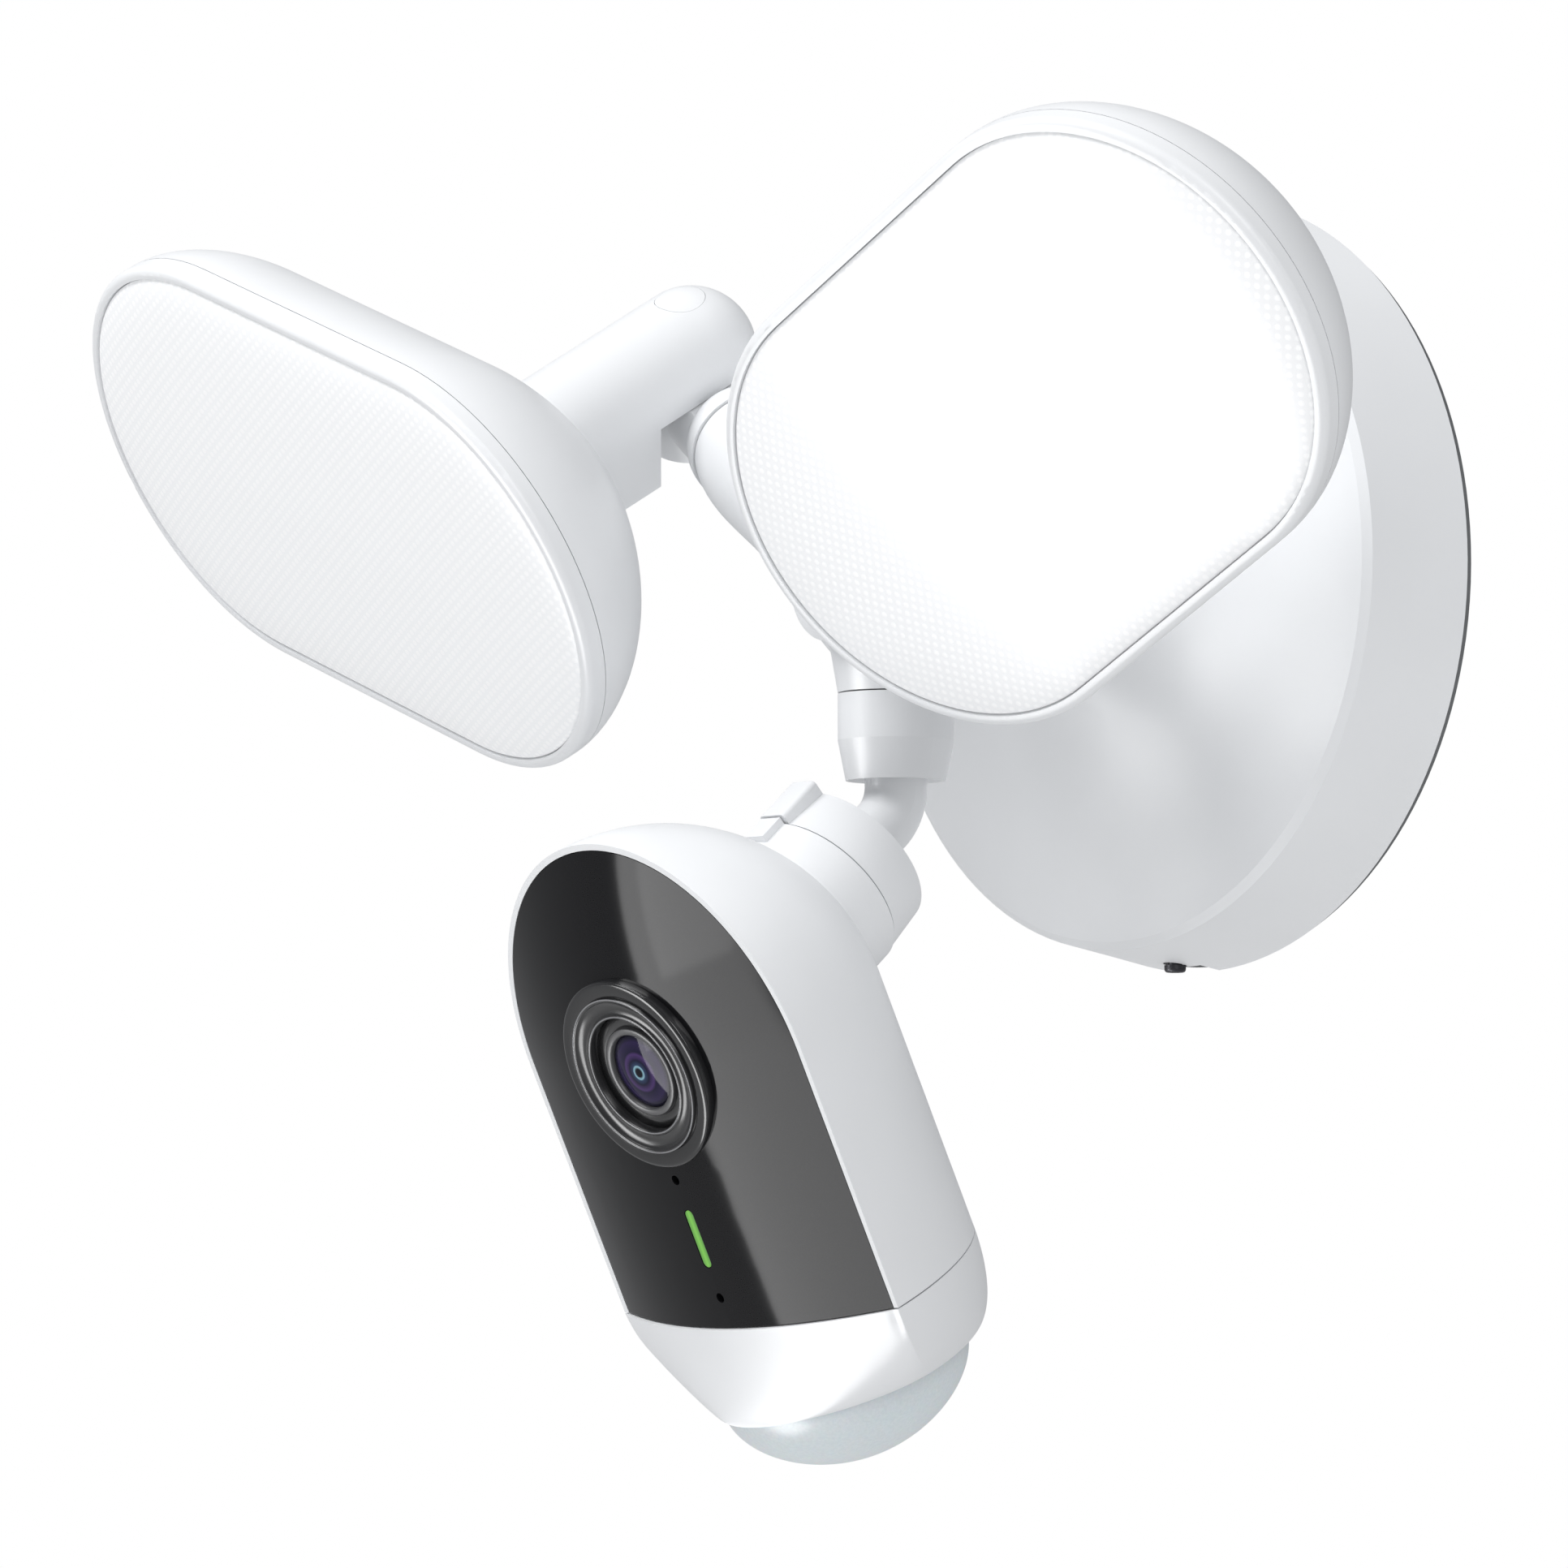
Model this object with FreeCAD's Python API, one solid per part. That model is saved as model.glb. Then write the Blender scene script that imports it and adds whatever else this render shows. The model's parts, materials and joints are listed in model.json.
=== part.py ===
import FreeCAD, Part
import math
import os

# Wall floodlight camera: a round wall base, a hub with two jointed lamp arms, and a camera below.
# Frame: +Z up, the wall is the plane Y = 0, the object stands out towards -Y, and +X is to the right
# seen from the front. The origin is the centre of the base's back face. Lengths are in millimetres.

# wall base
base_r = 68.0
base_front_r = 64.8
base_depth = 22.0
gasket_t = 1.6
gasket_width = 6.0
base_wall = 2.4
cover_t = 2.4
neck_r = 14.6
funnel_tip_y = -46.0
bracket_length = 104.0
bracket_width = 26.0
bracket_t = 1.5
slot_spacing = 83.0
slot_length = 12.0
slot_r = 2.3
cable_hole_r = 11.0

# hub
hub_y = -71.9
hub_r = 15.0
hub_z = -4.0
post_r = 9.95
post_end_z = -22.4
collar_end_z = -37.5
collar_tip_r = 8.6

# lamps: lens centre of the right lamp, and how the lamp is turned
lamp_x = 91.1
lamp_y = -120.4
lamp_z = 13.4
lamp_yaw = 8.65
lamp_pitch = 31.7
lamp_roll = 26.3
lens_half_length = 65.6
lens_half_width = 38.2
lens_crown = 3.2
bezel_width = 2.3
bezel_depth = 4.0
lamp_depth = 30.5
lamp_bulge = 1.7
lamp_wall = 2.2

# lamp knuckle and arm
tube_r = 11.7
tube_inset = 15.1
pivot_depth = 68.0
lap_drop = 2.3
keel_drop = 16.0
keel_half_width = 7.6
notch_gap = 18.0
arm_drop = 9.0
arm_end_gap = 21.5
arm_ball_r = 10.8
arm_r = 11.2
stem_shaft_r = 6.5
hinge_screw_r = 2.5
screw_sink = 5.0

# camera head: origin at the centre of the panel's top arc, tilted down about X
head_y = -122.7
head_z = -86.3
head_tilt = 26.2
panel_half_width = 35.1
panel_top = 37.85
panel_bottom = -46.7
panel_crown = 6.7
panel_t = 2.0
rim_w = 1.2
head_depth = 40.3
head_wall = 2.2
chin_bottom = -63.6
dome_y = 12.5
dome_r = 21.9
dome_height = 15.1
lens_seat_r = 17.0
light_z = -30.3
light_length = 8.6
card_z = -30.0

# camera stem, ball and lock ring
stem_r = 5.35
stem_bore_r = 3.0
bend_y = -71.9
bend_z = -42.6
bend_radius = 9.0
stem_slope = 41.5
ball_r = 8.0
ball_y = -88.3
ball_z = -57.1
ring_length = 9.2
ring_r = 15.1
rib_count = 6
rib_width = 6.4
rib_height = 1.7

# clearances
slip = 0.05
gap = 0.3

V = FreeCAD.Vector
origin = V(0, 0, 0)
x_axis = V(1, 0, 0)
y_axis = V(0, 1, 0)
z_axis = V(0, 0, 1)


def save(name, shape):
    """Write one node. The shape is one solid, or a group of separate solids."""
    shape = shape.removeSplitter()
    if not shape.isValid():
        print("NOT VALID", name)
    shape.exportStep("parts/" + name + ".step")
    print(name, len(shape.Solids), round(shape.Volume))


def cylinder(radius, length, start, direction=z_axis):
    return Part.makeCylinder(radius, length, start, direction)


def ring(outer_r, inner_r, length, start, direction=z_axis):
    outer = cylinder(outer_r, length, start, direction)
    return outer.cut(cylinder(inner_r, length, start, direction))


def box_at(size, centre):
    sx, sy, sz = size
    corner = V(centre[0] - sx / 2, centre[1] - sy / 2, centre[2] - sz / 2)
    return Part.makeBox(sx, sy, sz, corner)


def group(solids):
    return Part.makeCompound(solids)


def polyline_face(points):
    return Part.Face(Part.makePolygon(points + [points[0]]))


def revolve_profile(edges, angle=360, centre=origin, axis=z_axis):
    """Turn a closed loop of edges about an axis."""
    face = Part.Face(Part.Wire(edges))
    return face.revolve(centre, axis, angle)


def spline(points):
    curve = Part.BSplineCurve()
    curve.interpolate(points)
    return curve.toShape()


def line(a, b):
    return Part.LineSegment(a, b).toShape()


def superellipse(half_width, depth, power, steps=12):
    """Points of a quarter superellipse, from (half_width, 0) to (0, depth)."""
    points = []
    for i in range(steps + 1):
        angle = math.pi / 2 * i / steps
        r = half_width * math.cos(angle) ** (2 / power)
        t = depth * math.sin(angle) ** (2 / power)
        points.append((max(r, 0.0), t))
    points[-1] = (0.0, depth)
    return points


def on_axis(shape, start, direction):
    """Carry a shape made along +Z to a start point and a direction."""
    shape = shape.copy()
    shape.Placement = FreeCAD.Placement(start, FreeCAD.Rotation(z_axis, direction))
    return shape


def pan_head_screw(start, direction, shank_r=1.4, length=8.0, head_r=2.7, head_t=1.9):
    """A screw whose head seats at start. The shank runs along direction."""
    head = cylinder(head_r, head_t, origin)
    head = head.makeFillet(0.6, [head.Edges[0]])
    slot_a = box_at((head_r * 1.2, 0.7, 1.2), (0, 0, head_t))
    slot_b = box_at((0.7, head_r * 1.2, 1.2), (0, 0, head_t))
    head = head.cut(slot_a).cut(slot_b)
    shank = cylinder(shank_r, length, V(0, 0, -length))
    return on_axis(head.fuse(shank), start, -direction)


# --- wall base ---

def mounting_bracket():
    """A steel strip that is screwed to the wall box, with two slots and a folded locking tab."""
    plate = box_at((bracket_length, bracket_t, bracket_width), (0, -bracket_t / 2, 0))
    hub_disc = cylinder(23.0, bracket_t, origin, -y_axis)
    hole = cylinder(cable_hole_r + 4.0, bracket_t, origin, -y_axis)
    plate = plate.fuse(hub_disc).cut(hole)
    for side in (-1, 1):
        centre_x = side * slot_spacing / 2
        reach = slot_length / 2 - slot_r
        slot = box_at((2 * reach, bracket_t * 2, 2 * slot_r), (centre_x, -bracket_t / 2, 0))
        for end in (-reach, reach):
            round_end = cylinder(slot_r, bracket_t * 2, V(centre_x + end, bracket_t / 2, 0), -y_axis)
            slot = slot.fuse(round_end)
        plate = plate.cut(slot)
    foot = box_at((14.0, bracket_t, 42.0), (0, -bracket_t / 2, -39.5))
    tab = box_at((14.0, 12.0, bracket_t), (0, -6.0, -60.5 + bracket_t / 2))
    tapped = cylinder(1.3, 4.0, V(0, -8.0, -62.0))
    return plate.fuse(foot).fuse(tab).cut(tapped)


def wall_gasket():
    outer = base_r - 0.9
    return ring(outer, outer - gasket_width, gasket_t, origin, -y_axis)


def back_cover():
    """The flat plate that closes the base, with openings for the leads and the wall screws."""
    plate = cylinder(base_r - base_wall - 1.4, cover_t, V(0, -gasket_t - 0.1, 0), -y_axis)
    plate = plate.cut(cylinder(cable_hole_r, 6.0, origin, -y_axis))
    for side in (-1, 1):
        plate = plate.cut(box_at((slot_length + 8.0, 10.0, 14.0), (side * slot_spacing / 2, -4.0, 0)))
    for x, z in cover_screw_places():
        plate = plate.cut(cylinder(1.6, 10.0, V(x, 1.0, z), -y_axis))
    return plate.cut(box_at((16.0, 10.0, 12.0), (0, -4.0, -62.0)))


def cover_screw_places():
    spots = []
    for angle in (45, 135, 225, 315):
        spots.append((55.0 * math.cos(math.radians(angle)), 55.0 * math.sin(math.radians(angle))))
    return spots


def back_cover_screws():
    screws = []
    for x, z in cover_screw_places():
        screws.append(pan_head_screw(V(x, -gasket_t - 0.1, z), -y_axis, 1.35, 9.0, 2.8, 1.5))
    return group(screws)


def base_section(inset):
    """Half of the base's outline in the XY plane, drawn inside the skin by inset."""
    back = V(base_r - inset, -gasket_t - 0.1, 0)
    rim = V(base_front_r - inset, -base_depth + inset + 1.2, 0)
    brow = V(base_front_r - inset - 1.4, -base_depth + inset, 0)
    flare = spline([brow, V(42.0, -26.2 + inset, 0), V(26.0, -31.5 + inset, 0),
                    V(neck_r + 3.6 - inset * 0.6, -38.0 + inset * 0.5, 0), V(neck_r - inset, funnel_tip_y, 0)])
    return [back, rim, brow, flare]


def base_solid(inset, back_y):
    back, rim, brow, flare = base_section(inset)
    back = V(back.x, back_y, 0)
    tip = V(neck_r - inset, funnel_tip_y, 0)
    edges = [line(back, rim), line(rim, brow), flare,
             line(tip, V(0, tip.y, 0)), line(V(0, tip.y, 0), V(0, back.y, 0)), line(V(0, back.y, 0), back)]
    return revolve_profile(edges, 360, origin, y_axis)


def base_housing():
    """The drum and its flared front face in one moulding, with bosses for the cover screws."""
    shell = base_solid(0, -gasket_t - 0.1).cut(base_solid(base_wall, -gasket_t + 1.0))
    bore = cylinder(neck_r - base_wall, 12.0, V(0, funnel_tip_y + 11.0, 0), -y_axis)
    shell = shell.cut(bore)
    for x, z in cover_screw_places():
        boss = cylinder(3.6, 18.5, V(x, -gasket_t - cover_t - 0.2, z), -y_axis)
        boss = boss.cut(cylinder(1.35, 14.0, V(x, 0, z), -y_axis))
        shell = shell.fuse(boss)
    notch = box_at((9.0, 4.6, 12.0), (0, -gasket_t - 2.2, -base_r))
    screw_hole = cylinder(2.1, 12.0, V(0, -8.0, -base_r - 6.0))
    return shell.cut(notch).cut(screw_hole)


def lock_screw():
    """The screw under the rim that holds the base on the bracket's tab."""
    return pan_head_screw(V(0, -8.0, -67.0), z_axis, 1.3, 8.6, 1.9, 1.3)


# --- electronics in the base ---

def driver_board():
    board = box_at((62.0, 1.6, 44.0), (0, -9.5, -34.0))
    board = board.cut(cylinder(24.0, 10.0, V(0, -5.0, 0), -y_axis))
    for x in (-27.0, 27.0):
        board = board.cut(cylinder(1.6, 10.0, V(x, -5.0, -52.0), -y_axis))
    return board


def driver_parts():
    """Transformer, two capacitors and a rectifier on the driver board."""
    face_y = -10.3
    transformer = box_at((16.0, 7.5, 14.0), (-14.0, face_y - 3.75, -36.0))
    winding = cylinder(5.0, 20.0, V(-14.0, face_y - 5.1, -46.0))
    choke = ring(5.5, 2.6, 5.0, V(22.0, face_y, -36.0), -y_axis)
    capacitors = [cylinder(3.6, 9.0, V(x, face_y, -44.0), -y_axis) for x in (3.0, 11.5)]
    rectifier = box_at((7.0, 3.0, 5.0), (7.0, face_y - 1.5, -30.5))
    return group([transformer.fuse(winding), choke, rectifier] + capacitors)


def terminal_block():
    block = box_at((20.0, 8.0, 9.0), (0, -9.0, 30.0))
    for x in (-6.5, 0.0, 6.5):
        block = block.cut(cylinder(1.5, 20.0, V(x, -9.0, 20.0)))
        block = block.cut(cylinder(1.8, 2.5, V(x, -13.0, 30.0), y_axis))
    return block


# --- hub ---

def lamp_rotation():
    """Lens frame of the right lamp: +X along the flats outwards, +Z out of the lens."""
    yaw = FreeCAD.Rotation(z_axis, lamp_yaw)
    pitch = FreeCAD.Rotation(x_axis, 90 + lamp_pitch)
    roll = FreeCAD.Rotation(z_axis, lamp_roll)
    return yaw * pitch * roll


lamp_turn = lamp_rotation()
lamp_centre = V(lamp_x, lamp_y, lamp_z)
lamp_place = FreeCAD.Placement(lamp_centre, lamp_turn)
pivot_axis = lamp_turn.multVec(y_axis)
pivot = lamp_place.multVec(V(-tube_inset, 0, -pivot_depth))
arm_end = pivot - pivot_axis * arm_drop
hub_meet_z = arm_end.z + (arm_end.x * pivot_axis.x + (arm_end.y - hub_y) * pivot_axis.y) / pivot_axis.z
hub_meet = V(0, hub_y, hub_meet_z)
arm_dir = (hub_meet - arm_end).normalize()
arm_length = (hub_meet - arm_end).Length
ball_centre = arm_end + arm_dir * arm_end_gap


def arm_sleeve():
    """The right arm of the hub: a slightly waisted sleeve that ends in a thinned rim."""
    reach = arm_length - arm_end_gap
    side = spline([V(arm_r - 0.9, 0, 0), V(arm_r - 0.2, 0, 3.0), V(arm_r + 0.3, 0, 13.0),
                   V(arm_r - 0.3, 0, 28.0), V(arm_r + 0.8, 0, 44.0), V(arm_r + 1.8, 0, reach)])
    edges = [line(origin, V(arm_r - 0.9, 0, 0)), side, line(V(arm_r + 1.8, 0, reach), V(0, 0, reach)),
             line(V(0, 0, reach), origin)]
    return on_axis(revolve_profile(edges), ball_centre + arm_dir * gap, arm_dir)


def hub_housing():
    """One hollow casting: neck, round body, two arm sleeves and the post for the camera."""
    neck_start = V(0, funnel_tip_y + 5.0, 0)
    neck_axis = V(0, hub_y, hub_z) - neck_start
    outer = cylinder(neck_r - base_wall - 0.1, 9.0, neck_start, -y_axis)
    collar_start = V(0, funnel_tip_y - 0.2, -0.7)
    collar_axis = V(0, hub_y, hub_z) - collar_start
    neck = Part.makeCone(neck_r, neck_r - 0.4, collar_axis.Length, collar_start, collar_axis)
    outer = outer.fuse(neck.cut(box_at((60.0, 20.0, 60.0), (0, funnel_tip_y + 9.9, 0))))
    outer = outer.fuse(Part.makeSphere(hub_r, V(0, hub_y, hub_z)))
    sleeve = arm_sleeve()
    outer = outer.fuse(sleeve).fuse(sleeve.mirror(origin, x_axis))
    post_top = V(0, hub_y, hub_z)
    post = Part.makeCone(post_r, post_r + 3.2, -post_end_z + hub_z, V(0, hub_y, post_end_z))
    outer = outer.fuse(post)

    hollow = Part.makeSphere(hub_r - 2.6, post_top)
    hollow = hollow.fuse(cylinder(neck_r - 5.0, neck_axis.Length + 10, neck_start - neck_axis * 0.2, neck_axis))
    hollow = hollow.fuse(cylinder(6.0, 30.0, V(0, hub_y, post_end_z - 5.0)))
    for flip in (False, True):
        bore = cylinder(stem_shaft_r + slip, 16.0, ball_centre - arm_dir * 2.0, arm_dir)
        cut = bore.fuse(cylinder(8.4, arm_length - arm_end_gap - 12.0, ball_centre + arm_dir * 10.0, arm_dir))
        if flip:
            cut = cut.mirror(origin, x_axis)
        hollow = hollow.fuse(cut)
    cap_seat = cylinder(10.5, 12.0, V(0, hub_y - hub_r + 2.0, hub_z), -y_axis)
    cap_hole = cylinder(9.1, 12.0, V(0, hub_y - hub_r + 8.0, hub_z), -y_axis)
    return outer.cut(hollow).cut(cap_seat).cut(cap_hole)


def hub_cap():
    """The round cover on the front of the hub, following its ball."""
    disc = cylinder(10.3, 12.0, V(0, hub_y - hub_r + 1.8, hub_z), -y_axis)
    ball = Part.makeSphere(hub_r + 3.0, V(0, hub_y, hub_z))
    cap = disc.common(ball)
    plug = ring(8.9, 7.6, 3.0, V(0, hub_y - hub_r + 4.8, hub_z), -y_axis)
    well = cylinder(8.0, 3.0, V(0, hub_y - hub_r + 2.0, hub_z), -y_axis)
    return cap.cut(well).fuse(plug)


def post_collar():
    """The tapered collar under the hub that carries the camera's stem."""
    straight = post_end_z - 8.2
    edges = [line(V(6.2, 0, post_end_z - 0.25), V(post_r, 0, post_end_z - 0.25)),
             line(V(post_r, 0, post_end_z - 0.25), V(post_r, 0, straight)),
             line(V(post_r, 0, straight), V(collar_tip_r, 0, collar_end_z)),
             line(V(collar_tip_r, 0, collar_end_z), V(collar_tip_r - 0.7, 0, collar_end_z)),
             line(V(collar_tip_r - 0.7, 0, collar_end_z), V(stem_r + slip, 0, collar_end_z + 2.4)),
             line(V(stem_r + slip, 0, collar_end_z + 2.4), V(stem_r + slip, 0, collar_end_z + 6.4)),
             line(V(stem_r + slip, 0, collar_end_z + 6.4), V(7.7, 0, collar_end_z + 6.4)),
             line(V(7.7, 0, collar_end_z + 6.4), V(7.7, 0, post_end_z - 2.0)),
             line(V(7.7, 0, post_end_z - 2.0), V(6.2, 0, post_end_z - 0.25))]
    return revolve_profile(edges).translate(V(0, hub_y, 0))


def stem_bush():
    return ring(7.6, stem_r + slip, 3.0, V(0, hub_y, post_end_z - 5.2))


# --- arm stem ---

def arm_stem():
    """The right arm's turning end: a ball nose with a half-lap lug, and a hollow shaft in the sleeve."""
    nose = Part.makeSphere(arm_ball_r, ball_centre).cut(cylinder(20.0, 20.0, ball_centre, arm_dir))
    shaft = cylinder(stem_shaft_r, 21.0, ball_centre, arm_dir)
    lug_top = pivot - pivot_axis * (lap_drop + gap)
    lug_t = keel_drop - lap_drop - gap + 0.4
    lug = cylinder(tube_r - 0.3, lug_t, lug_top, -pivot_axis)
    bridge = cylinder(9.4, arm_end_gap, arm_end, arm_dir)
    bridge = bridge.cut(cylinder(60.0, 30.0, lug_top, pivot_axis))
    bridge = bridge.cut(cylinder(60.0, 30.0, lug_top - pivot_axis * lug_t, -pivot_axis))
    body = nose.fuse(shaft).fuse(bridge).fuse(lug)
    body = body.cut(cylinder(hinge_screw_r + slip, 40.0, lug_top + pivot_axis, -pivot_axis))
    lead_bore = cylinder(3.2, 60.0, ball_centre - arm_dir * 6.0, arm_dir)
    return body.cut(lead_bore)


def stem_nut():
    """The nut on the inner end of the shaft, which keeps the stem in its sleeve."""
    return ring(8.1, stem_shaft_r, 4.0, ball_centre + arm_dir * 16.0, arm_dir)


# --- lamp head, built in the lens frame and then placed ---

def stadium_prism(half_length, half_width, low, high):
    middle = box_at((2 * (half_length - half_width), 2 * half_width, high - low), (0, 0, (low + high) / 2))
    body = middle
    for side in (-1, 1):
        centre = V(side * (half_length - half_width), 0, low)
        body = body.fuse(cylinder(half_width, high - low, centre))
    return body.removeSplitter()


def pillow(half_length, half_width, points, closing):
    """A stadium-shaped solid whose section across is given by points (radius, height)."""
    ends = half_length - half_width
    outline = [V(r, 0, z) for r, z in points]
    edges = [spline(outline), line(V(0, 0, closing), outline[0])]
    if outline[-1].z != closing:
        edges.insert(1, line(outline[-1], V(0, 0, closing)))
    half = Part.Face(Part.Wire(edges))
    right = half.copy()
    right.rotate(origin, z_axis, -90)
    right.translate(V(ends, 0, 0))
    right = right.revolve(V(ends, 0, 0), z_axis, 180)
    left = right.mirror(origin, x_axis)
    section = half.copy()
    section.rotate(origin, z_axis, 90)
    section.translate(V(-ends, 0, 0))
    middle = section.extrude(V(2 * ends, 0, 0))
    middle = middle.fuse(middle.mirror(origin, y_axis))
    return middle.fuse(right).fuse(left).removeSplitter()


def shell_points(inset):
    half_width = lens_half_width + bezel_width - inset
    depth = lamp_depth - inset
    return [(r, -t) for r, t in superellipse(half_width, depth, lamp_bulge)]


def tube_section(radius, keel, half_width):
    circle = Part.Face(Part.Wire(Part.makeCircle(radius)))
    skirt = polyline_face([V(-radius * 0.98, -radius * 0.2, 0), V(-half_width, -keel, 0),
                           V(half_width, -keel, 0), V(radius * 0.98, -radius * 0.2, 0)])
    return circle.fuse(skirt).removeSplitter()


def lamp_tube():
    """The tube behind the lamp: round above, keeled below, halved where it laps the lug."""
    section = tube_section(tube_r, keel_drop, keel_half_width)
    body = section.extrude(V(0, 0, pivot_depth - notch_gap - 12.0))
    body.translate(V(-tube_inset, 0, -pivot_depth + notch_gap))
    upper = cylinder(tube_r, pivot_depth - 12.0, V(-tube_inset, 0, -pivot_depth))
    upper = upper.fuse(Part.makeSphere(tube_r, V(-tube_inset, 0, -pivot_depth)))
    drop = box_at((60.0, 60.0, 40.0), (-tube_inset, -30.0 - lap_drop, -pivot_depth + notch_gap - 20.0))
    return body.fuse(upper).cut(drop)


def lamp_shell():
    """Domed rear shell and tube in one moulding."""
    outer_l = lens_half_length + bezel_width
    outer_w = lens_half_width + bezel_width
    skin = pillow(outer_l, outer_w, shell_points(0), 0)
    solid = skin.fuse(lamp_tube())
    core = pillow(outer_l - lamp_wall, outer_w - lamp_wall, shell_points(lamp_wall), 0)
    solid = solid.cut(core)
    lead_bore = cylinder(5.0, 46.0, V(-tube_inset, 1.6, -pivot_depth + notch_gap - 4.0))
    screw_hole = cylinder(hinge_screw_r + slip, 30.0, V(-tube_inset, -lap_drop - 1.0, -pivot_depth), y_axis)
    head_seat = cylinder(4.6, 9.0, V(-tube_inset, tube_r - screw_sink, -pivot_depth), y_axis)
    solid = solid.cut(lead_bore).cut(screw_hole).cut(head_seat)
    for x, y in shell_screw_places():
        boss = cylinder(2.8, 18.0, V(x, y, -24.0)).common(skin)
        solid = solid.fuse(boss).cut(cylinder(1.1, 20.0, V(x, y, -14.0)))
    return solid


def shell_screw_places():
    return [(-46.0, 16.0), (-46.0, -16.0), (46.0, 16.0), (46.0, -16.0)]


def lamp_bezel():
    """The frame around the lens, with a rounded front edge."""
    outer_l = lens_half_length + bezel_width
    outer_w = lens_half_width + bezel_width
    outer = stadium_prism(outer_l, outer_w, 0.15, bezel_depth)
    front = [e for e in outer.Edges if e.BoundBox.ZMin > bezel_depth - 0.01]
    outer = outer.makeFillet(1.5, front)
    hole = stadium_prism(lens_half_length + 0.25, lens_half_width + 0.25, 1.4, bezel_depth + 2.0)
    window = stadium_prism(lens_half_length - 2.6, lens_half_width - 2.6, -1.0, bezel_depth + 2.0)
    return outer.cut(hole).cut(window)


def lamp_lens():
    """The diffuser: a crowned cover with a straight edge that sits in the bezel."""
    base_z = bezel_depth - 0.6
    edge = stadium_prism(lens_half_length, lens_half_width, 1.5, base_z)
    crown = [(r, base_z + t) for r, t in superellipse(lens_half_width, lens_crown, 1.9)]
    cover = edge.fuse(pillow(lens_half_length, lens_half_width, crown, base_z))
    inner_l = lens_half_length - 1.8
    inner_w = lens_half_width - 1.8
    inner_crown = [(r, base_z - 1.6 + t) for r, t in superellipse(inner_w, lens_crown, 1.9)]
    core = pillow(inner_l, inner_w, inner_crown, base_z - 1.6)
    core = core.fuse(stadium_prism(inner_l, inner_w, 0.0, base_z - 1.6))
    return cover.cut(core)


def lamp_seal():
    outer = stadium_prism(lens_half_length - 0.2, lens_half_width - 0.2, -1.0, 0.1)
    return outer.cut(stadium_prism(lens_half_length - 2.6, lens_half_width - 2.6, -2.0, 1.0))


def led_board():
    board = stadium_prism(52.0, 26.0, -4.6, -3.0)
    for x, y in shell_screw_places():
        board = board.cut(cylinder(1.4, 4.0, V(x, y, -6.0)))
    return board.cut(cylinder(3.0, 4.0, V(-tube_inset, 0, -6.0)))


def led_chips():
    chips = []
    for row in range(-1, 2):
        for column in range(-3, 4):
            chips.append(box_at((3.5, 3.5, 0.9), (column * 12.0, row * 14.0, -2.55)))
    return group(chips)


def heat_spreader():
    """Aluminium plate with fins behind the light board."""
    plate = stadium_prism(50.0, 25.0, -7.2, -4.7)
    for x, y in shell_screw_places():
        plate = plate.cut(cylinder(3.1, 8.0, V(x, y, -10.0)))
    for row in range(-3, 4):
        plate = plate.fuse(box_at((66.0, 1.6, 7.0), (0, row * 6.0, -10.6)))
    return plate.cut(cylinder(6.0, 20.0, V(-tube_inset, 0, -20.0)))


def lamp_screws():
    screws = []
    for x, y in shell_screw_places():
        screws.append(pan_head_screw(V(x, y, -3.0), -z_axis, 1.1, 9.0, 2.2, 1.2))
    return group(screws)


def hinge_screw():
    """The pivot screw: a head in the tube's seat and a shank through the lug."""
    top = V(-tube_inset, tube_r - screw_sink, -pivot_depth)
    shank = cylinder(hinge_screw_r, tube_r - screw_sink + keel_drop - 2.0, top, -y_axis)
    head = cylinder(4.4, 2.6, top, y_axis)
    socket = cylinder(1.6, 3.0, top + V(0, 1.0, 0), y_axis)
    return head.fuse(shank).cut(socket)


def hinge_plug():
    """The cap that closes the screw's seat, flush with the tube."""
    upper = cylinder(tube_r, 12.0, V(-tube_inset, 0, -pivot_depth))
    upper = upper.fuse(Part.makeSphere(tube_r, V(-tube_inset, 0, -pivot_depth)))
    start = V(-tube_inset, tube_r - screw_sink + 2.8, -pivot_depth)
    return cylinder(4.52, 6.0, start, y_axis).common(upper)


def hinge_washer():
    """The friction disc between the tube and the lug."""
    return ring(8.0, hinge_screw_r, gap, V(-tube_inset, -lap_drop, -pivot_depth), -y_axis)


def make_lamp(side):
    parts = {
        "lamp_shell": lamp_shell(), "lamp_bezel": lamp_bezel(), "lamp_lens": lamp_lens(),
        "lamp_seal": lamp_seal(), "led_board": led_board(), "led_chips": led_chips(),
        "heat_spreader": heat_spreader(), "lamp_screws": lamp_screws(),
        "hinge_screw": hinge_screw(), "hinge_plug": hinge_plug(), "hinge_washer": hinge_washer(),
    }
    placed = {"arm_stem": arm_stem(), "stem_nut": stem_nut()}
    for name, shape in parts.items():
        shape.Placement = lamp_place.multiply(shape.Placement)
        placed[name] = shape
    for name, shape in placed.items():
        if side == "left":
            shape = shape.mirror(origin, x_axis)
        save(side + "_" + name, shape)


# --- camera stem, ball and lock ring ---

slope = math.radians(stem_slope)
stem_dir = V(0, -math.cos(slope), -math.sin(slope))
ball_place = V(0, ball_y, ball_z)


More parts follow.
